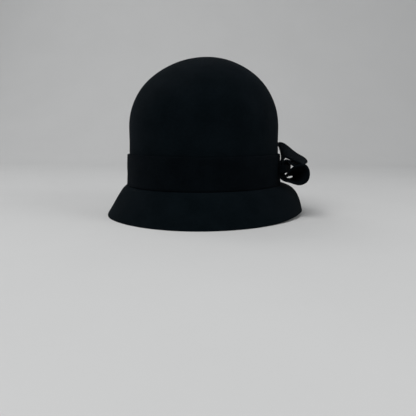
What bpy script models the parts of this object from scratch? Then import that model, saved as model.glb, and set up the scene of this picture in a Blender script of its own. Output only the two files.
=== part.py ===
"""A felt cloche hat: a blocked crown and brim in one, a band, and a bow of the same felt.

Metres, +Z up. The front of the hat is at -Y and the wearer's left at +X. The hat stands on its brim at z = 0.
"""

import math

import bpy
from mathutils import Vector

# The felt
FELT = 0.0022
BAND_FELT = 0.0020
BOW_FELT = 0.0022
CLEARANCE = 0.0003

# The crown, measured on its outside
CROWN_HALF_WIDTH = 0.0833
CROWN_HALF_LENGTH = 0.0998
CROWN_FLARE = 0.0014
HAT_HEIGHT = 0.1720
SHOULDER_HEIGHT = 0.0900
DOME_TOP_FULLNESS = 1.92
DOME_SIDE_FULLNESS = 2.32
CROWN_LEAN_LEFT = 0.0022
CROWN_LEAN_BACK = 0.0060

# The brim
BRIM_DEPTH = 0.0335
BRIM_REACH = 0.0287
BRIM_TURN = 0.17
BRIM_ROLL = 0.02
BRIM_FALL = 0.38
TRIM = 0.0015

# The band
BAND_WIDTH = 0.0330

# The bow
BOW_DIRECTION = 81.0
BOW_REACH = 0.0335
BOW_STRIP = 0.0340
KNOT_WIDTH = 0.0090

# Meshing
ROUND_STEPS = 60
DOME_STEPS = 12
WALL_STEPS = 4
BRIM_STEPS = 8
FOLD_STEPS = 4
STRIP_STEPS = 4
SHARP_ANGLE = 40.0

# Brim by direction, in degrees from the front towards the wearer's left. Reach and lift are shares of
# BRIM_REACH and BRIM_DEPTH, and shoulder is the share of the reach that stays level before the brim turns down.
BRIM_COLUMNS = ("direction", "reach", "lift", "shoulder")
BRIM = (
    (0.0, 1.10, 0.00, 0.30),
    (45.0, 0.90, 0.07, 0.42),
    (90.0, 0.95, 0.18, 0.68),
    (135.0, 0.93, 0.12, 0.60),
    (180.0, 0.86, 0.00, 0.52),
    (225.0, 0.86, 0.00, 0.42),
    (270.0, 0.86, 0.09, 0.34),
    (315.0, 0.90, 0.01, 0.28),
)

# The folds of the bow's loops. Each row gives the strip's front edge, then its back edge: out is a share of
# BOW_REACH, up of BAND_WIDTH from the band's middle, fore and width of BOW_STRIP. Layer counts the thicknesses
# of felt that lie between the fold and the band.
LOOP_COLUMNS = ("out", "up", "back_out", "back_up", "fore", "width", "layer")
FRONT_LOOP = (
    (0.00, 0.02, 0.00, -0.08, 0.00, 0.56, 0.0),
    (0.01, -0.17, 0.01, -0.20, 0.03, 0.66, 0.0),
    (0.12, -0.30, 0.10, -0.28, 0.08, 0.78, 0.0),
    (0.35, -0.35, 0.21, -0.33, 0.17, 0.92, 0.0),
    (0.69, -0.41, 0.32, -0.32, 0.26, 1.04, 0.0),
    (0.92, -0.27, 0.39, -0.27, 0.29, 1.08, 0.0),
    (0.95, 0.02, 0.40, -0.23, 0.29, 1.08, 0.0),
    (0.80, 0.21, 0.34, -0.20, 0.27, 1.04, 0.0),
    (0.47, 0.12, 0.24, -0.22, 0.17, 0.92, 0.0),
    (0.17, -0.20, 0.14, -0.25, 0.06, 0.76, 0.2),
    (0.02, -0.16, 0.02, -0.19, 0.01, 0.64, 0.9),
    (0.00, 0.02, 0.00, -0.08, 0.00, 0.56, 1.0),
)
BACK_LOOP = (
    (0.00, 0.09, 0.00, -0.14, -0.20, 1.00, 0.0),
    (0.01, 0.25, 0.00, 0.26, -0.22, 1.04, 0.0),
    (0.12, 0.38, -0.14, 0.71, -0.30, 1.10, 0.0),
    (0.14, 0.42, -0.20, 0.85, -0.34, 1.12, 0.0),
    (0.22, 0.40, 0.00, 0.82, -0.35, 1.14, 0.0),
    (0.43, 0.31, 0.38, 0.53, -0.35, 1.14, 0.0),
    (0.63, 0.22, 0.71, 0.33, -0.34, 1.14, 0.0),
    (0.68, 0.15, 0.78, 0.20, -0.32, 1.10, 0.0),
    (0.57, 0.14, 0.57, 0.18, -0.28, 1.06, 0.0),
    (0.40, 0.17, 0.30, 0.23, -0.20, 0.98, 0.2),
    (0.18, 0.32, 0.20, 0.24, -0.18, 0.96, 0.6),
    (0.04, 0.26, 0.12, 0.08, -0.14, 0.90, 0.9),
    (0.00, 0.09, 0.08, -0.10, -0.10, 0.80, 1.0),
)
# The folds of the knot, from front to back over the loops' ends: along is a share of BOW_STRIP.
KNOT_COLUMNS = ("along", "out", "layer")
KNOT = (
    (-0.39, 0.00, 0.0),
    (-0.385, 0.00, 1.2),
    (-0.32, 0.01, 2.0),
    (-0.11, 0.05, 2.0),
    (0.11, 0.09, 2.0),
    (0.24, 0.12, 2.0),
    (0.28, 0.12, 2.0),
)
KNOT_RISE = 0.04

BAND_FOOT = BRIM_DEPTH + CLEARANCE


def clear_scene():
    for obj in list(bpy.data.objects):
        bpy.data.objects.remove(obj)


def make_collection(name):
    collection = bpy.data.collections.new(name)
    bpy.context.scene.collection.children.link(collection)
    return collection


def make_material(name, colour, roughness):
    material = bpy.data.materials.new(name)
    material.use_nodes = True
    shader = material.node_tree.nodes["Principled BSDF"]
    shader.inputs["Base Color"].default_value = (*colour, 1.0)
    shader.inputs["Roughness"].default_value = roughness
    shader.inputs["Metallic"].default_value = 0.0
    return material


def smooth_between(before, start, end, after, share):
    """A point on the smooth curve that runs from start to end, share of the way along."""
    slope_start = (end - before) / 2
    slope_end = (after - start) / 2
    square = share * share
    cube = square * share
    return (
        (2 * cube - 3 * square + 1) * start
        + (cube - 2 * square + share) * slope_start
        + (3 * square - 2 * cube) * end
        + (cube - square) * slope_end
    )


def brim_value(column, direction):
    """The brim table read at any direction, smoothly all the way round."""
    index = BRIM_COLUMNS.index(column)
    step = 360.0 / len(BRIM)
    place = (direction % 360.0) / step
    row = int(place)
    values = [BRIM[(row + offset) % len(BRIM)][index] for offset in (-1, 0, 1, 2)]
    return smooth_between(*values, place - row)


def foot_flare(height):
    """How far the crown's wall has flared out at a height, on its way down from the shoulder to the brim."""
    share = (SHOULDER_HEIGHT - height) / (SHOULDER_HEIGHT - BRIM_DEPTH)
    return CROWN_FLARE * min(max(share, 0.0), 1.0) ** 2


def oval_point(direction, grow, height):
    """A point on the crown's oval, grown by a length all round, at a direction and a height."""
    angle = math.radians(direction)
    across = CROWN_HALF_WIDTH + foot_flare(height) + grow
    along = CROWN_HALF_LENGTH + foot_flare(height) + grow
    return (across * math.sin(angle), -along * math.cos(angle), height)


def dome_point(direction, turn):
    """A point on the dome: turn is 0 at the tip and 1 at the shoulder."""
    angle = turn * math.pi / 2
    width_share = math.sin(angle) ** (2 / DOME_TOP_FULLNESS)
    height_share = math.cos(angle) ** (2 / DOME_SIDE_FULLNESS) if turn < 1 else 0.0
    x, y, _ = oval_point(direction, 0.0, SHOULDER_HEIGHT)
    rise = (HAT_HEIGHT - SHOULDER_HEIGHT) * height_share
    lean = height_share**2
    return (
        x * width_share + CROWN_LEAN_LEFT * lean,
        y * width_share + CROWN_LEAN_BACK * lean,
        SHOULDER_HEIGHT + rise,
    )


def brim_point(direction, along):
    """A point on the brim's outside: along is 0 at the crown's foot and 1 at the edge, below the trim line."""
    reach = BRIM_REACH * brim_value("reach", direction)
    edge = BRIM_DEPTH * brim_value("lift", direction) - TRIM
    drop = BRIM_DEPTH - edge
    shoulder = brim_value("shoulder", direction)
    handles = (
        (0.0, 0.0),
        (shoulder * reach, BRIM_ROLL * drop),
        ((shoulder + BRIM_TURN) * reach, BRIM_FALL * drop),
        (reach, drop),
    )
    weights = (
        (1 - along) ** 3,
        3 * along * (1 - along) ** 2,
        3 * along**2 * (1 - along),
        along**3,
    )
    out = sum(weight * handle[0] for weight, handle in zip(weights, handles))
    down = sum(weight * handle[1] for weight, handle in zip(weights, handles))
    return oval_point(direction, out, BRIM_DEPTH - down)


def directions():
    return [360.0 * step / ROUND_STEPS for step in range(ROUND_STEPS)]


def mesh_object(name, vertices, faces, collection, material):
    mesh = bpy.data.meshes.new(name)
    mesh.from_pydata(vertices, [], faces)
    mesh.materials.append(material)
    mesh.shade_smooth()
    mesh.set_sharp_from_angle(angle=math.radians(SHARP_ANGLE))
    obj = bpy.data.objects.new(name, mesh)
    collection.objects.link(obj)
    return obj


def add_solidify(obj, thickness, offset):
    solidify = obj.modifiers.new("felt", "SOLIDIFY")
    solidify.thickness = thickness
    solidify.offset = offset
    solidify.use_even_offset = True
    solidify.use_quality_normals = True


def ring_faces(rings, start):
    """Quads between rings of vertices that follow each other, all as long as ROUND_STEPS."""
    faces = []
    for ring in range(rings - 1):
        for step in range(ROUND_STEPS):
            following = (step + 1) % ROUND_STEPS
            upper = start + ring * ROUND_STEPS
            lower = upper + ROUND_STEPS
            faces.append((upper + step, lower + step, lower + following, upper + following))
    return faces


def build_crown_and_brim(collection, cutters, material):
    """The felt hood: its outer surface from the tip down to the brim's edge, given its thickness inwards.

    The brim runs a little below z = 0 and is trimmed flat there, so that the hat rests on its cut edge.
    """
    tip = (CROWN_LEAN_LEFT, CROWN_LEAN_BACK, HAT_HEIGHT)
    rings = [[dome_point(d, step / DOME_STEPS) for d in directions()] for step in range(1, DOME_STEPS + 1)]
    for step in range(1, WALL_STEPS + 1):
        height = SHOULDER_HEIGHT + (BRIM_DEPTH - SHOULDER_HEIGHT) * step / WALL_STEPS
        rings.append([oval_point(d, 0.0, height) for d in directions()])
    for step in range(1, BRIM_STEPS + 1):
        rings.append([brim_point(d, step / BRIM_STEPS) for d in directions()])
    vertices = [tip] + [point for ring in rings for point in ring]
    faces = [(0, 1 + step, 1 + (step + 1) % ROUND_STEPS) for step in range(ROUND_STEPS)]
    faces += ring_faces(len(rings), 1)
    hood = mesh_object("crown_and_brim", vertices, faces, collection, material)
    add_solidify(hood, FELT, -1.0)

    side = 4 * (CROWN_HALF_LENGTH + BRIM_REACH)
    bpy.ops.mesh.primitive_cube_add(size=side, location=(0.0, 0.0, -side / 2))
    trim = bpy.context.object
    trim.name = "trim_line"
    for home in list(trim.users_collection):
        home.objects.unlink(trim)
    cutters.objects.link(trim)
    trim.hide_render = True
    trim.display_type = "WIRE"
    cut = hood.modifiers.new("trimmed edge", "BOOLEAN")
    cut.operation = "DIFFERENCE"
    cut.object = trim
    return hood, trim


def build_band(collection, material):
    """The strip of felt round the crown's foot, its ends meeting under the bow."""
    rings = []
    for height in (BAND_FOOT + BAND_WIDTH, BAND_FOOT + BAND_WIDTH / 2, BAND_FOOT):
        rings.append([oval_point(d, CLEARANCE, height) for d in directions()])
    vertices = [point for ring in rings for point in ring]
    band = mesh_object("hat_band", vertices, ring_faces(len(rings), 0), collection, material)
    add_solidify(band, BAND_FELT, 1.0)
    return band


def bow_point(along, out, up, layer):
    """A point of the bow: along the band towards the back, out from it, and up from its middle."""
    grow = CLEARANCE + BAND_FELT
    angle = math.radians(BOW_DIRECTION)
    base = Vector(oval_point(BOW_DIRECTION, grow, BAND_FOOT + BAND_WIDTH / 2))
    across = CROWN_HALF_WIDTH + grow
    length = CROWN_HALF_LENGTH + grow
    outwards = Vector((length * math.sin(angle), -across * math.cos(angle), 0.0)).normalized()
    backwards = Vector((-outwards.y, outwards.x, 0.0))
    stack = CLEARANCE + BOW_FELT / 2 + layer * (BOW_FELT + CLEARANCE)
    return base + outwards * (out + stack) + backwards * along + Vector((0.0, 0.0, up))


def loop_point(fold, across):
    """A point of a loop, from the strip's front edge (across 0) to its back edge (across 1)."""
    out = fold["out"] + (fold["back_out"] - fold["out"]) * across
    up = fold["up"] + (fold["back_up"] - fold["up"]) * across
    along = fold["width"] * (across - 0.5) - fold["fore"]
    return bow_point(along * BOW_STRIP, out * BOW_REACH, up * BAND_WIDTH, fold["layer"])


def knot_point(fold, across):
    """A point of the knot, from its lower edge to its upper edge."""
    up = KNOT_RISE * BAND_WIDTH + KNOT_WIDTH * (across - 0.5)
    return bow_point(fold["along"] * BOW_STRIP, fold["out"] * BOW_REACH, up, fold["layer"])


def build_strip(name, columns, rows, point, collection, material):
    """A strip of felt that runs smoothly through a table of folds."""
    stations = []
    for index in range(len(rows) - 1):
        window = [rows[min(max(index + offset, 0), len(rows) - 1)] for offset in (-1, 0, 1, 2)]
        for step in range(FOLD_STEPS):
            share = step / FOLD_STEPS
            stations.append([smooth_between(*values, share) for values in zip(*window)])
    stations.append(rows[-1])
    vertices = []
    for station in stations:
        fold = dict(zip(columns, station))
        vertices += [point(fold, across / STRIP_STEPS) for across in range(STRIP_STEPS + 1)]
    faces = []
    row_length = STRIP_STEPS + 1
    for station in range(len(stations) - 1):
        for across in range(STRIP_STEPS):
            corner = station * row_length + across
            faces.append((corner, corner + 1, corner + row_length + 1, corner + row_length))
    strip = mesh_object(name, vertices, faces, collection, material)
    add_solidify(strip, BOW_FELT, 0.0)
    return strip


def crown_place():
    """Where the crown's axis stands, so that the hat with its bow is centred over the origin."""
    foot = CROWN_HALF_WIDTH + CROWN_FLARE
    right = foot + BRIM_REACH * brim_value("reach", 270.0)
    left = foot + BRIM_REACH * brim_value("reach", 90.0)
    front = CROWN_HALF_LENGTH + BRIM_REACH * brim_value("reach", 0.0)
    back = CROWN_HALF_LENGTH + BRIM_REACH * brim_value("reach", 180.0)
    folds = [dict(zip(LOOP_COLUMNS, row)) for row in FRONT_LOOP + BACK_LOOP]
    bow = max(loop_point(fold, edge).x for fold in folds for edge in (0.0, 1.0)) + BOW_FELT / 2
    return ((right - max(left, bow)) / 2, (front - back) / 2, 0.0)


def main():
    clear_scene()
    parts = make_collection("cloche_hat")
    cutters = make_collection("cutters")
    felt = make_material("black_felt", (0.006, 0.007, 0.010), 0.95)
    strip_felt = make_material("black_strip_felt", (0.005, 0.006, 0.009), 0.95)

    hat = bpy.data.objects.new("hat", None)
    parts.objects.link(hat)
    hat.location = crown_place()
    hood, trim = build_crown_and_brim(parts, cutters, felt)
    band = build_band(parts, strip_felt)
    front_loop = build_strip("bow_front_loop", LOOP_COLUMNS, FRONT_LOOP, loop_point, parts, strip_felt)
    back_loop = build_strip("bow_back_loop", LOOP_COLUMNS, BACK_LOOP, loop_point, parts, strip_felt)
    knot = build_strip("bow_knot", KNOT_COLUMNS, KNOT, knot_point, parts, strip_felt)
    for piece in (hood, band, front_loop, back_loop, knot, trim):
        piece.parent = hat


main()
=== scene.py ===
import math

import bpy
import numpy as np
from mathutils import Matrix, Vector


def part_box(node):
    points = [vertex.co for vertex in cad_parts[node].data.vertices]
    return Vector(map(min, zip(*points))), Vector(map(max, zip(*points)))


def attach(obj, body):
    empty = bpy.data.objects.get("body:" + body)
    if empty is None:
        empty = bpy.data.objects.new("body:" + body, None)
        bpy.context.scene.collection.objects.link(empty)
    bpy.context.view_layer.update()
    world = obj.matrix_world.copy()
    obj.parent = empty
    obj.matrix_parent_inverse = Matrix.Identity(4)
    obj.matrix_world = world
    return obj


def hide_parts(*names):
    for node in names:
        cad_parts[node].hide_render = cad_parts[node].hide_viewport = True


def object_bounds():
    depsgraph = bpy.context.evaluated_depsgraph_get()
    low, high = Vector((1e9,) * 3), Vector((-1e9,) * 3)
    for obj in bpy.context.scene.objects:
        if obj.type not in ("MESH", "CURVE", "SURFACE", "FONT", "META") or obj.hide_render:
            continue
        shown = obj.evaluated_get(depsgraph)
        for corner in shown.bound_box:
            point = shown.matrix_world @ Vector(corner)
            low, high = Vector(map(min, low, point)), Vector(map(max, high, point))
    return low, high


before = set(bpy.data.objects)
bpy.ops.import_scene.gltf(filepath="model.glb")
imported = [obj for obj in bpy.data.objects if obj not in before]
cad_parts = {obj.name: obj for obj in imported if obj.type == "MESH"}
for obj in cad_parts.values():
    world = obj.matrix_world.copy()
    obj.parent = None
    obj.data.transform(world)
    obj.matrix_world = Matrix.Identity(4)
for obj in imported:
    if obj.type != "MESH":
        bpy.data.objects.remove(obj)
cad_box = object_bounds()

# The hood: one cone of wool felt, steamed and pulled down over an oval block, so crown and brim are one
# piece, 2.2 mm thick and hollow. The brim turns down in a short flare and is cut off level. The hat stands on
# that cut edge, which lifts a few millimetres at the sides, most of all under the bow.
HOOD_FELT = 0.0022
STRIP_FELT = 0.0020
GAP = 0.0003
band_low, band_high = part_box("hat_band")
axis_x = (band_low.x + band_high.x) / 2
axis_y = (band_low.y + band_high.y) / 2
hat_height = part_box("crown_and_brim")[1].z
brim_depth = band_low.z - GAP
SHOULDER_HEIGHT = 0.0900
CROWN_FLARE = 0.0014
DOME_TOP_FULLNESS = 1.92
DOME_SIDE_FULLNESS = 2.32
LEAN_LEFT = 0.0022
LEAN_BACK = 0.0060
BREAK_RADIUS = 0.0006
BRIM_REACH = 0.0287
BRIM_TURN = 0.17
BRIM_ROLL = 0.02
BRIM_FALL = 0.38
TRIM = 0.0015

# The brim by direction, in degrees from the front towards the wearer's left. Reach and lift are shares of
# BRIM_REACH and of the brim's depth, and shoulder is the share of the reach that stays level before the turn.
BRIM_COLUMNS = ("direction", "reach", "lift", "shoulder")
BRIM = (
    (0.0, 1.10, 0.00, 0.30),
    (45.0, 0.90, 0.07, 0.42),
    (90.0, 0.95, 0.18, 0.68),
    (135.0, 0.93, 0.12, 0.60),
    (180.0, 0.86, 0.00, 0.52),
    (225.0, 0.86, 0.00, 0.42),
    (270.0, 0.86, 0.09, 0.34),
    (315.0, 0.90, 0.01, 0.28),
)


def smooth_between(before, start, end, after, share):
    """A value on the smooth curve that runs from start to end."""
    slope_start = (end - before) / 2
    slope_end = (after - start) / 2
    square = share * share
    cube = square * share
    return (
        (2 * cube - 3 * square + 1) * start
        + (cube - 2 * square + share) * slope_start
        + (3 * square - 2 * cube) * end
        + (cube - square) * slope_end
    )


def brim_value(column, direction):
    """The brim's table read smoothly at any directions."""
    values = np.array([row[BRIM_COLUMNS.index(column)] for row in BRIM])
    place = (direction % 360.0) * len(BRIM) / 360.0
    row = np.floor(place).astype(int)
    window = [values[(row + step) % len(BRIM)] for step in (-1, 0, 1, 2)]
    return smooth_between(*window, place - row)


def foot_flare(height):
    """How far the crown's wall has flared out at a height, on its way down from the shoulder to the brim."""
    share = (SHOULDER_HEIGHT - height) / (SHOULDER_HEIGHT - brim_depth)
    return CROWN_FLARE * np.clip(share, 0.0, 1.0) ** 2


half_width = (band_high.x - band_low.x) / 2 - STRIP_FELT - GAP - foot_flare(band_low.z)
half_length = (band_high.y - band_low.y) / 2 - STRIP_FELT - GAP - foot_flare(band_low.z)


def oval(direction, across, along, height):
    """Points of an upright oval round the crown's axis."""
    angle = np.radians(direction)
    x = axis_x + across * np.sin(angle)
    y = axis_y - along * np.cos(angle)
    return np.stack(np.broadcast_arrays(x, y, height), axis=-1)


def hood_outside(direction, down):
    """Points of the felt's outside. Down is 0 at the tip, 1 at the shoulder, 2 at the brim's break and 3 at
    its edge."""
    turn = np.clip(down, 0.0, 1.0) * math.pi / 2
    wide = np.sin(turn) ** (2 / DOME_TOP_FULLNESS)
    rise = np.clip(np.cos(turn), 0.0, 1.0) ** (2 / DOME_SIDE_FULLNESS)
    wall = np.clip(down - 1.0, 0.0, 1.0)
    along = np.clip(down - 2.0, 0.0, 1.0) ** 2
    reach = BRIM_REACH * brim_value("reach", direction)
    drop = brim_depth * (1.0 - brim_value("lift", direction)) + TRIM
    shoulder = brim_value("shoulder", direction)
    level = 3 * along * (1 - along) ** 2
    falling = 3 * along**2 * (1 - along)
    out = reach * (level * shoulder + falling * (shoulder + BRIM_TURN) + along**3)
    fall = drop * (level * BRIM_ROLL + falling * BRIM_FALL + along**3)
    inside_break = 1.0 - np.clip(out / BREAK_RADIUS, 0.0, 1.0)
    fall = fall + BREAK_RADIUS * np.sqrt(1.0 - inside_break**2)
    foot = brim_depth + BREAK_RADIUS
    dome_height = hat_height - SHOULDER_HEIGHT
    height = SHOULDER_HEIGHT + dome_height * rise - (SHOULDER_HEIGHT - foot) * wall - fall
    out = out + foot_flare(height)
    points = oval(direction, half_width * wide + out, half_length * wide + out, height)
    lean = np.stack([LEAN_LEFT * rise**2, LEAN_BACK * rise**2, np.zeros_like(rise)], axis=-1)
    return points + lean


def hood_point(direction, down, depth):
    """Points at a depth under the felt's outside, square to it, and the way that faces outwards there."""
    turn_step = 0.05
    down_step = 0.002
    here = hood_outside(direction, down)
    sideways = hood_outside(direction + turn_step, down) - hood_outside(direction - turn_step, down)
    downwards = hood_outside(direction, down + down_step) - hood_outside(direction, down - down_step)
    outwards = np.cross(downwards, sideways)
    outwards /= np.linalg.norm(outwards, axis=-1, keepdims=True)
    return here - outwards * depth, outwards


BRIM_TOP = 2.2
BRIM_EDGE = 3.0
HALVINGS = 40


def brim_end(direction, depth):
    """Where the hood ends on its way down: at the cut that lies flat on the table, found by halving the way
    from the brim's top to its edge again and again, or at the edge itself where it is lifted clear."""
    low = np.full_like(direction, BRIM_TOP)
    high = np.full_like(direction, BRIM_EDGE)
    lifted = hood_point(direction, high, depth)[0][..., 2] >= 0.0
    for _ in range(HALVINGS):
        middle = (low + high) / 2
        above = hood_point(direction, middle, depth)[0][..., 2] >= 0.0
        low = np.where(above, middle, low)
        high = np.where(above, high, middle)
    return np.where(lifted, BRIM_EDGE, low)


SWELL_WAVES = 14


def ripples(points, seed, lengths):
    """Soft, uneven swells over the felt, mostly from -1 to 1, as hand blocking leaves them. Lengths are the
    shortest and the longest swell."""
    draw = np.random.default_rng(seed)
    total = np.zeros(points.shape[:-1])
    for _ in range(SWELL_WAVES):
        heading = draw.normal(size=3)
        heading /= np.linalg.norm(heading)
        length = draw.uniform(*lengths)
        total += np.sin(points @ heading * 2 * math.pi / length + draw.uniform(0, 2 * math.pi))
    return total / math.sqrt(SWELL_WAVES)


def felt_object(name, vertices, faces, cut, material):
    """A felt piece from its points and faces. Cut is 1 where the blade went through and 0 on the skin."""
    mesh = bpy.data.meshes.new(name)
    mesh.from_pydata([tuple(point) for point in vertices], [], faces)
    mesh.materials.append(material)
    mesh.shade_smooth()
    attribute = mesh.attributes.new("cut_edge", "FLOAT", "POINT")
    attribute.data.foreach_set("value", np.asarray(cut, dtype=np.float32))
    piece = bpy.data.objects.new(name, mesh)
    bpy.context.scene.collection.objects.link(piece)
    return piece


class Wool:
    """A value, colour or direction that varies over the felt. Sums written with it add shader nodes."""

    def __init__(self, tree, socket=None):
        self.tree = tree
        self.socket = socket

    def add(self, kind, settings=None, sockets=None, output=0):
        """Adds a node, sets its settings, then the values or links of its sockets, and gives its output."""
        node = self.tree.nodes.new(kind)
        for name, value in (settings or {}).items():
            setattr(node, name, value)
        for name, value in (sockets or {}).items():
            if isinstance(value, Wool):
                self.tree.links.new(value.socket, node.inputs[name])
            else:
                node.inputs[name].default_value = value
        return Wool(self.tree, node.outputs[output])

    def maths(self, operation, first, second):
        return self.add("ShaderNodeMath", {"operation": operation}, {0: first, 1: second})

    def __add__(self, other):
        return self.maths("ADD", self, other)

    def __radd__(self, other):
        return self.maths("ADD", other, self)

    def __sub__(self, other):
        return self.maths("SUBTRACT", self, other)

    def __rsub__(self, other):
        return self.maths("SUBTRACT", other, self)

    def __mul__(self, other):
        return self.maths("MULTIPLY", self, other)

    def __rmul__(self, other):
        return self.maths("MULTIPLY", other, self)

    def __pow__(self, other):
        return self.maths("POWER", self, other)

    def distance_from(self, middle):
        return self.maths("ABSOLUTE", self - middle, 0.0)

    def noise(self, scale, detail=3.0, roughness=0.55, distortion=0.0):
        sockets = {"Vector": self, "Scale": scale, "Detail": detail, "Roughness": roughness,
                   "Distortion": distortion}
        return self.add("ShaderNodeTexNoise", None, sockets)

    def between(self, low, high):
        """0 under low, 1 over high, and a soft step between them."""
        settings = {"interpolation_type": "SMOOTHSTEP"}
        return self.add("ShaderNodeMapRange", settings, {"Value": self, "From Min": low, "From Max": high})

    def blend(self, dark, light):
        """From the first colour to the second as this value goes from 0 to 1. The Mix node's sockets share
        their names, so they are given by number: 0 is the factor, 6 and 7 are the colours."""
        return self.add("ShaderNodeMix", {"data_type": "RGBA"}, {0: self, 6: dark, 7: light}, output=2)


DYE_SCALE = 38.0
PRESSED_SCALE = 150.0
CLUMP_SCALE = 420.0
FIBRE_SCALE = 1500.0
FIBRE_TWIST = 1.6
FIBRE_FINENESS = 7.0
CUT_PALENESS = 0.8
RELIEF_HEIGHT = 0.0005
RELIEF_STRENGTH = 0.55
SMOOTHEST = 0.86
CLUMP_ROUGHNESS = 0.10
FELT_SPECULAR = 0.025
FELT_SHEEN = 0.012
SHEEN_ROUGHNESS = 0.45
SHEEN_TINT = (0.62, 0.76, 1.0, 1.0)


def wool_felt(name, dark, light, cut_light):
    """Black wool felt: matted fibres of slightly different blacks, a soft nap, and paler cut edges. Its
    scales are in patches of dye, pressed marks, clumps of wool and fibres to a metre."""
    material = bpy.data.materials.new(name)
    material.use_nodes = True
    tree = material.node_tree
    surface = tree.nodes["Principled BSDF"]
    place = Wool(tree).add("ShaderNodeTexCoord", output="Object")
    dye = place.noise(DYE_SCALE, detail=2.0)
    clumps = place.noise(CLUMP_SCALE, roughness=0.6)
    matted = place.noise(FIBRE_SCALE, roughness=0.6, distortion=FIBRE_TWIST)
    strands = (1.0 - 2.0 * matted.distance_from(0.5)) ** FIBRE_FINENESS
    pressed = place.noise(PRESSED_SCALE, detail=2.0).between(0.30, 0.75)
    cut = Wool(tree).add("ShaderNodeAttribute", {"attribute_name": "cut_edge"}, output="Fac")
    shade = 0.55 * dye.between(0.25, 0.75) + 0.30 * clumps.between(0.3, 0.7) + 0.35 * strands - 0.15
    skin = shade.blend((*dark, 1.0), (*light, 1.0))
    colour = (cut * CUT_PALENESS).blend(skin, (*cut_light, 1.0))
    relief = 0.55 * clumps + 0.30 * matted + 0.35 * strands + 0.5 * pressed + cut * matted
    bump = {"Strength": RELIEF_STRENGTH, "Distance": RELIEF_HEIGHT, "Height": relief}
    normal = relief.add("ShaderNodeBump", None, bump)
    roughness = SMOOTHEST + CLUMP_ROUGHNESS * clumps
    tree.links.new(colour.socket, surface.inputs["Base Color"])
    tree.links.new(roughness.socket, surface.inputs["Roughness"])
    tree.links.new(normal.socket, surface.inputs["Normal"])
    surface.inputs["Specular IOR Level"].default_value = FELT_SPECULAR
    surface.inputs["Sheen Weight"].default_value = FELT_SHEEN
    surface.inputs["Sheen Roughness"].default_value = SHEEN_ROUGHNESS
    surface.inputs["Sheen Tint"].default_value = SHEEN_TINT
    return material


HOOD_DARK = (0.0010, 0.0026, 0.0036)
HOOD_LIGHT = (0.0031, 0.0056, 0.0075)
HOOD_CUT = (0.0042, 0.0062, 0.0080)
hood_black = wool_felt("hood_felt", HOOD_DARK, HOOD_LIGHT, HOOD_CUT)

ROUND_STEPS = 240
DOME_STEPS = 44
WALL_STEPS = 12
BRIM_STEPS = 34
CORNER = 0.00035
TIP_RISE = 0.00002

# The blocking leaves swells of about 0.28 mm. They fade out just above and below the band and at the brim's
# edge.
BLOCKING = 0.00028
BLOCKING_SEED = 3
BLOCKING_LENGTHS = (0.028, 0.090)
ABOVE_BAND = 0.002
ABOVE_FADE = 0.012
BELOW_BAND = 0.003
BELOW_FADE = 0.006
EDGE_FADE = 0.004

around = np.arange(ROUND_STEPS) * 360.0 / ROUND_STEPS
dome_downs = np.linspace(0.0, 1.0, DOME_STEPS + 1)[1:]
wall_downs = np.linspace(1.0, 2.0, WALL_STEPS + 1)[1:]
brim_shares = np.linspace(0.0, 1.0, BRIM_STEPS + 1)[1:]


def hood_skin(depth):
    """The rings of one skin of the felt, from the tip to the brim's end, with the swells of the blocking."""
    end = brim_end(around, depth)
    downs = [np.full(ROUND_STEPS, down) for down in [*dome_downs, *wall_downs]]
    downs += [2.0 + share * (end - 2.0) for share in brim_shares]
    downs = np.array(downs)
    points, outwards = hood_point(np.broadcast_to(around, downs.shape), downs, depth)
    swell = ripples(points + outwards * depth, BLOCKING_SEED, BLOCKING_LENGTHS)
    height = points[..., 2]
    crown_part = np.clip((height - band_high.z - ABOVE_BAND) / ABOVE_FADE, 0, 1)
    under_band = np.clip((band_low.z - BELOW_BAND - height) / BELOW_FADE, 0, 1)
    brim_part = under_band * np.clip(height / EDGE_FADE, 0, 1)
    points += outwards * (BLOCKING * swell * np.maximum(crown_part, brim_part))[..., None]
    points[..., 2] = np.maximum(points[..., 2], 0.0)
    return points


outer = hood_skin(0.0)
inner = hood_skin(HOOD_FELT)


def towards(start, goal, length):
    """A point at a length from start on its way to goal."""
    way = goal - start
    return start + way / np.linalg.norm(way, axis=-1, keepdims=True) * length


outer_end = outer[-1]
inner_end = inner[-1]
outer_side = towards(outer_end, outer[-2], CORNER)
inner_side = towards(inner_end, inner[-2], CORNER)
outer_face = towards(outer_end, inner_end, CORNER)
inner_face = towards(inner_end, outer_end, CORNER)
outer_round = 0.25 * outer_side + 0.5 * outer_end + 0.25 * outer_face
inner_round = 0.25 * inner_side + 0.5 * inner_end + 0.25 * inner_face
edge_middle = (outer_face + inner_face) / 2
edge_rings = [outer_side, outer_round, outer_face, edge_middle, inner_face, inner_round, inner_side]
hood_rings = [*outer[:-1], *edge_rings, *inner[:-1][::-1]]


def ring_faces(first, second, count):
    """Faces between two rings of points, from the numbers of the rings' first points."""
    faces = []
    for step in range(count):
        following = (step + 1) % count
        faces.append((first + step, second + step, second + following, first + following))
    return faces


outer_tip = np.array([axis_x + LEAN_LEFT, axis_y + LEAN_BACK, outer[0][:, 2].max() + TIP_RISE])
inner_tip = np.array([axis_x + LEAN_LEFT, axis_y + LEAN_BACK, inner[0][:, 2].max() + TIP_RISE])
hood_vertices = np.concatenate([[outer_tip], np.concatenate(hood_rings), [inner_tip]])
last_start = 1 + (len(hood_rings) - 1) * ROUND_STEPS
hood_faces = [(0, 1 + step, 1 + (step + 1) % ROUND_STEPS) for step in range(ROUND_STEPS)]
for ring in range(len(hood_rings) - 1):
    hood_faces += ring_faces(1 + ring * ROUND_STEPS, 1 + (ring + 1) * ROUND_STEPS, ROUND_STEPS)
for step in range(ROUND_STEPS):
    hood_faces.append((last_start + step, len(hood_vertices) - 1, last_start + (step + 1) % ROUND_STEPS))
hood_cut = np.zeros(len(hood_vertices))
edge_start = 1 + (len(outer) - 1) * ROUND_STEPS
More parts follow.
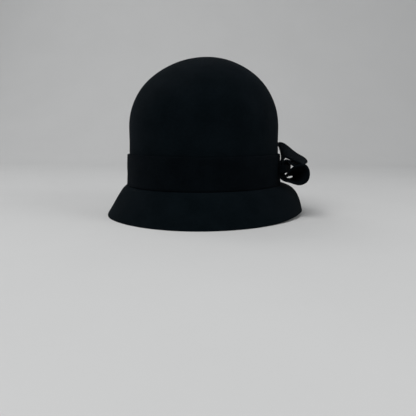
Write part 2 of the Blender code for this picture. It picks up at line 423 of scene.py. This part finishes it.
hood_cut[edge_start + ROUND_STEPS:edge_start + (len(edge_rings) - 1) * ROUND_STEPS] = 1.0
hood = felt_object("felt_hood", hood_vertices, hood_faces, hood_cut, hood_black)
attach(hood, "root")
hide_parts("crown_and_brim")

# The band: a strip of the same felt, 33 mm wide and 2 mm thick, cut with a blade and drawn round the foot of
# the crown. Its ends meet under the bow, where they don't show, so it is one ring here.
STRIP_DARK = (0.0008, 0.0018, 0.0026)
STRIP_LIGHT = (0.0025, 0.0043, 0.0058)
STRIP_CUT = (0.0036, 0.0052, 0.0066)
strip_black = wool_felt("strip_felt", STRIP_DARK, STRIP_LIGHT, STRIP_CUT)
BAND_WIDTH = band_high.z - band_low.z
BAND_STEPS = 12
CORNER_EASE = 0.3

# The band's outside swells by about 0.18 mm and its inside by less. Its upper half rises and falls by about
# 0.45 mm, most of all at the edge. Both are read on a ring of about the crown's size.
BAND_SWELL = 0.00018
INSIDE_SWELL = 0.6
SWELL_RING = 0.1
SWELL_SEED = 17
SWELL_LENGTHS = (0.03, 0.09)
EDGE_WANDER = 0.00045
WANDER_RING = 0.08
WANDER_SEED = 11
WANDER_LENGTHS = (0.05, 0.11)


def strip_section(half_thick, corner, columns):
    """The section of a cut strip, as (across, depth, nudge) steps: across runs from 0 to 1 and back, nudge in
    corner widths keeps the corners slightly round."""
    side = np.linspace(0.0, 1.0, columns + 1)
    flat = half_thick - corner
    near = half_thick - CORNER_EASE * corner
    section = [(place, half_thick, 1.0 if place in (0.0, 1.0) else 0.0) for place in side]
    section += [(1.0, near, CORNER_EASE), (1.0, flat, 0.0), (1.0, -flat, 0.0), (1.0, -near, CORNER_EASE)]
    section += [(place, -half_thick, 1.0 if place in (0.0, 1.0) else 0.0) for place in side[::-1]]
    section += [(0.0, -near, CORNER_EASE), (0.0, -flat, 0.0), (0.0, flat, 0.0), (0.0, near, CORNER_EASE)]
    return section


band_rings = []
band_cut = []
for across, depth, nudge in strip_section(STRIP_FELT / 2, CORNER, BAND_STEPS):
    inset = nudge * CORNER * (1 if across == 0.0 else -1)
    base = oval(around, 1.0, 1.0, np.full(ROUND_STEPS, across))
    wander = ripples(base * WANDER_RING, WANDER_SEED, WANDER_LENGTHS)
    height = band_low.z + BAND_WIDTH * across + inset
    height = height + EDGE_WANDER * wander * across * (across > 0.5)
    grow = GAP + STRIP_FELT / 2 + depth
    swell = BAND_SWELL * (1.0 + ripples(base * SWELL_RING, SWELL_SEED, SWELL_LENGTHS))
    grow = grow + swell * (1 if depth > 0 else INSIDE_SWELL) + foot_flare(height)
    band_rings.append(oval(around, half_width + grow, half_length + grow, height))
    band_cut.append(np.full(ROUND_STEPS, 1.0 if abs(depth) < STRIP_FELT / 2 and nudge == 0.0 else 0.0))
band_vertices = np.concatenate(band_rings)
band_faces = []
for ring in range(len(band_rings)):
    here = ring * ROUND_STEPS
    after = ((ring + 1) % len(band_rings)) * ROUND_STEPS
    for step in range(ROUND_STEPS):
        following = (step + 1) % ROUND_STEPS
        band_faces.append((here + step, here + following, after + following, after + step))
band = felt_object("felt_band", band_vertices, band_faces, np.concatenate(band_cut), strip_black)
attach(band, "root")
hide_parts("hat_band")

# The bow: two loops of cut felt strip, sewn down on the wearer's left. The front loop droops forwards over
# the band and the back loop stands up and back from it. Their ends lie on each other under the knot.
BOW_FELT = 0.0022
BOW_DIRECTION = 81.0
BOW_REACH = 0.0335
BOW_STRIP = 0.0340
KNOT_WIDTH = 0.0090
KNOT_RISE = 0.04
FOLD_STEPS = 12
ACROSS_STEPS = 14

# The loops' folds. Each row gives the strip's front edge, then its back edge: out is a share of BOW_REACH, up
# of the band's width from its middle, fore and width of BOW_STRIP. Layer counts the felts between fold and
# band.
LOOP_COLUMNS = ("out", "up", "back_out", "back_up", "fore", "width", "layer")
FRONT_LOOP = (
    (0.00, 0.02, 0.00, -0.08, 0.00, 0.56, 0.0),
    (0.01, -0.17, 0.01, -0.20, 0.03, 0.66, 0.0),
    (0.12, -0.30, 0.10, -0.28, 0.08, 0.78, 0.0),
    (0.35, -0.35, 0.21, -0.33, 0.17, 0.92, 0.0),
    (0.69, -0.41, 0.32, -0.32, 0.26, 1.04, 0.0),
    (0.92, -0.27, 0.39, -0.27, 0.29, 1.08, 0.0),
    (0.95, 0.02, 0.40, -0.23, 0.29, 1.08, 0.0),
    (0.80, 0.21, 0.34, -0.20, 0.27, 1.04, 0.0),
    (0.47, 0.12, 0.24, -0.22, 0.17, 0.92, 0.0),
    (0.17, -0.20, 0.14, -0.25, 0.06, 0.76, 0.2),
    (0.02, -0.16, 0.02, -0.19, 0.01, 0.64, 0.9),
    (0.00, 0.02, 0.00, -0.08, 0.00, 0.56, 1.0),
)
BACK_LOOP = (
    (0.00, 0.09, 0.00, -0.14, -0.20, 1.00, 0.0),
    (0.01, 0.25, 0.00, 0.26, -0.22, 1.04, 0.0),
    (0.12, 0.38, -0.14, 0.71, -0.30, 1.10, 0.0),
    (0.14, 0.42, -0.20, 0.85, -0.34, 1.12, 0.0),
    (0.22, 0.40, 0.00, 0.82, -0.35, 1.14, 0.0),
    (0.43, 0.31, 0.38, 0.53, -0.35, 1.14, 0.0),
    (0.63, 0.22, 0.71, 0.33, -0.34, 1.14, 0.0),
    (0.68, 0.15, 0.78, 0.20, -0.32, 1.10, 0.0),
    (0.57, 0.14, 0.57, 0.18, -0.28, 1.06, 0.0),
    (0.40, 0.17, 0.30, 0.23, -0.20, 0.98, 0.2),
    (0.18, 0.32, 0.20, 0.24, -0.18, 0.96, 0.6),
    (0.04, 0.26, 0.12, 0.08, -0.14, 0.90, 0.9),
    (0.00, 0.09, 0.08, -0.10, -0.10, 0.80, 1.0),
)

# The knot's folds, from front to back over the loops' ends: along is a share of BOW_STRIP, out of BOW_REACH.
KNOT_COLUMNS = ("along", "out", "layer")
KNOT = (
    (-0.39, 0.00, 0.0),
    (-0.385, 0.00, 1.2),
    (-0.32, 0.01, 2.0),
    (-0.11, 0.05, 2.0),
    (0.11, 0.09, 2.0),
    (0.24, 0.12, 2.0),
    (0.28, 0.12, 2.0),
)

bow_angle = math.radians(BOW_DIRECTION)
bow_grow = GAP + STRIP_FELT
bow_height = (band_low.z + band_high.z) / 2
bow_flare = bow_grow + foot_flare(bow_height)
bow_base = oval(BOW_DIRECTION, half_width + bow_flare, half_length + bow_flare, bow_height)
bow_out = np.array([
    (half_length + bow_grow) * math.sin(bow_angle),
    -(half_width + bow_grow) * math.cos(bow_angle),
    0.0,
])
bow_out /= np.linalg.norm(bow_out)
bow_back = np.array([-bow_out[1], bow_out[0], 0.0])
UPWARDS = np.array([0.0, 0.0, 1.0])


def bow_points(along, out, up, layer):
    """Points of the bow: along the band towards the back, out from it, and up from its middle."""
    stack = GAP + BOW_FELT / 2 + layer * (BOW_FELT + GAP)
    away = np.multiply.outer(out + stack, bow_out)
    back = np.multiply.outer(along, bow_back)
    return bow_base + away + back + np.multiply.outer(up, UPWARDS)


def smooth_folds(rows, columns):
    """A table of folds read smoothly, FOLD_STEPS times between each two rows, as a column for each name."""
    rows = np.array(rows)
    stations = []
    for index in range(len(rows) - 1):
        window = [rows[min(max(index + step, 0), len(rows) - 1)] for step in (-1, 0, 1, 2)]
        stations += [smooth_between(*window, step / FOLD_STEPS) for step in range(FOLD_STEPS)]
    table = np.array([*stations, rows[-1]])
    return {name: table[:, [index]] for index, name in enumerate(columns)}


strip_across = np.linspace(0.0, 1.0, ACROSS_STEPS + 1)[None, :]


def loop_middle(rows):
    """The middle surface of a loop's strip, a row of points across the strip at each station."""
    fold = smooth_folds(rows, LOOP_COLUMNS)
    out = fold["out"] + (fold["back_out"] - fold["out"]) * strip_across
    up = fold["up"] + (fold["back_up"] - fold["up"]) * strip_across
    along = fold["width"] * (strip_across - 0.5) - fold["fore"]
    layer = fold["layer"] + 0 * strip_across
    return bow_points(along * BOW_STRIP, out * BOW_REACH, up * BAND_WIDTH, layer)


def knot_middle(rows):
    """The middle surface of the knot's strip, in rows as the loops' are."""
    fold = smooth_folds(rows, KNOT_COLUMNS)
    still = 0 * strip_across
    along = fold["along"] * BOW_STRIP + still
    out = fold["out"] * BOW_REACH + still
    up = KNOT_RISE * BAND_WIDTH + KNOT_WIDTH * (strip_across - 0.5) + 0 * fold["out"]
    return bow_points(along, out, up, fold["layer"] + still)


def felt_strip(name, middle):
    """A cut strip of felt along its middle surface, with slightly round corners and square ends."""
    lengthways = np.gradient(middle, axis=0)
    crossways = np.gradient(middle, axis=1)
    crossways /= np.linalg.norm(crossways, axis=-1, keepdims=True)
    facing = np.cross(lengthways, crossways)
    facing /= np.linalg.norm(facing, axis=-1, keepdims=True)
    columns = []
    cut = []
    for place, depth, nudge in strip_section(BOW_FELT / 2, CORNER, ACROSS_STEPS):
        column = round(place * ACROSS_STEPS)
        inset = nudge * CORNER * (1 if column == 0 else -1)
        columns.append(middle[:, column] + facing[:, column] * depth + crossways[:, column] * inset)
        cut.append(1.0 if abs(depth) < BOW_FELT / 2 and nudge == 0.0 else 0.0)
    rings = np.stack(columns, axis=1)
    stations, length = rings.shape[:2]
    vertices = rings.reshape(-1, 3)
    last_start = (stations - 1) * length
    faces = [tuple(range(length)), tuple(range(last_start + length - 1, last_start - 1, -1))]
    for station in range(stations - 1):
        faces += ring_faces(station * length, (station + 1) * length, length)
    piece = felt_object(name, vertices, faces, np.tile(cut, stations), strip_black)
    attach(piece, "root")
    return piece


# Each loop is cut as a fan, longer along one edge than the other, so its area is less than its length times
# its width.
front_loop = felt_strip("felt_front_loop", loop_middle(FRONT_LOOP))
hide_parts("bow_front_loop")
back_loop = felt_strip("felt_back_loop", loop_middle(BACK_LOOP))
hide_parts("bow_back_loop")
knot = felt_strip("felt_knot", knot_middle(KNOT))
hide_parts("bow_knot")

# The table and backdrop: one sheet of pale matt board, flat under the hat and swept up behind it. It takes
# the hat's shadow and isn't part of the hat.
BOARD_SIDE = 3.0
SWEEP_START = 0.9
SWEEP_RADIUS = 0.8
BOARD_TOP = 2.6
SWEEP_STEPS = 24
BOARD_MARKS = 6.0
BOARD_DARK = (0.60, 0.60, 0.595, 1.0)
BOARD_LIGHT = (0.64, 0.64, 0.635, 1.0)
BOARD_ROUGHNESS = 0.85
BOARD_SPECULAR = 0.2
profile = [(-BOARD_SIDE, 0.0), (0.0, 0.0), (SWEEP_START, 0.0)]
for step in range(1, SWEEP_STEPS + 1):
    bend = math.radians(90 * step / SWEEP_STEPS)
    profile.append((SWEEP_START + SWEEP_RADIUS * math.sin(bend), SWEEP_RADIUS * (1 - math.cos(bend))))
profile.append((SWEEP_START + SWEEP_RADIUS, BOARD_TOP))
board_mesh = bpy.data.meshes.new("board")
board_points = [(side * BOARD_SIDE, y, z) for y, z in profile for side in (-1, 1)]
board_faces = [(2 * row, 2 * row + 1, 2 * row + 3, 2 * row + 2) for row in range(len(profile) - 1)]
board_mesh.from_pydata(board_points, [], board_faces)
board_mesh.shade_smooth()
board = bpy.data.objects.new("board", board_mesh)
bpy.context.scene.collection.objects.link(board)
board_paint = bpy.data.materials.new("board_paint")
board_paint.use_nodes = True
board_surface = board_paint.node_tree.nodes["Principled BSDF"]
board_place = Wool(board_paint.node_tree).add("ShaderNodeTexCoord", output="Object")
board_tone = board_place.noise(BOARD_MARKS, detail=4.0).blend(BOARD_DARK, BOARD_LIGHT)
board_paint.node_tree.links.new(board_tone.socket, board_surface.inputs["Base Color"])
board_surface.inputs["Roughness"].default_value = BOARD_ROUGHNESS
board_surface.inputs["Specular IOR Level"].default_value = BOARD_SPECULAR
board_mesh.materials.append(board_paint)

# The light: a large soft box overhead and to the front, a weaker one from the wearer's left, a faint one from
# behind and a pale room. Each box has its name, place, side in metres and power in watts.
hat_centre = Vector((axis_x, axis_y, hat_height / 2))
SOFT_BOXES = (
    ("key", (-0.55, -0.95, 1.75), 1.3, 25.0),
    ("side", (1.55, -0.75, 0.85), 0.9, 8.0),
    ("back", (-0.9, 1.0, 1.5), 0.8, 5.0),
)
for name, place, side, power in SOFT_BOXES:
    lamp = bpy.data.lights.new(name, "AREA")
    lamp.shape = "SQUARE"
    lamp.size = side
    lamp.energy = power
    holder = bpy.data.objects.new(name, lamp)
    holder.location = place
    holder.rotation_euler = (hat_centre - Vector(place)).to_track_quat("-Z", "Y").to_euler()
    bpy.context.scene.collection.objects.link(holder)
ROOM_TONE = (0.93, 0.96, 1.0, 1.0)
ROOM_STRENGTH = 0.27
room = bpy.data.worlds.new("room")
room.use_nodes = True
room.node_tree.nodes["Background"].inputs["Color"].default_value = ROOM_TONE
room.node_tree.nodes["Background"].inputs["Strength"].default_value = ROOM_STRENGTH
bpy.context.scene.world = room
bpy.context.scene.view_settings.view_transform = "Standard"

# The camera: as high as the crown's shoulder and a little to the wearer's left of the front, as the hat was
# photographed. It turns to the middle of the whole hat and looks slightly down.
CAMERA_DISTANCE = 0.615
CAMERA_HEIGHT = 0.089
CAMERA_ROUND = 6.0
CAMERA_PITCH = 11.0
CAMERA_LENS = 46.0
CAMERA_SHIFT = 0.07
camera = bpy.data.cameras.new("camera")
camera.lens = CAMERA_LENS
camera.sensor_width = 36.0
camera.shift_y = CAMERA_SHIFT
camera_object = bpy.data.objects.new("camera", camera)
camera_turn = math.radians(CAMERA_ROUND)
camera_object.location = (
    axis_x + CAMERA_DISTANCE * math.sin(camera_turn),
    axis_y - CAMERA_DISTANCE * math.cos(camera_turn),
    CAMERA_HEIGHT,
)
middle_x = (cad_box[0][0] + cad_box[1][0]) / 2
turn_to_middle = math.atan2(camera_object.location.x - middle_x, axis_y - camera_object.location.y)
camera_object.rotation_euler = (math.radians(90.0 - CAMERA_PITCH), 0.0, turn_to_middle)
bpy.context.scene.collection.objects.link(camera_object)
bpy.context.scene.camera = camera_object
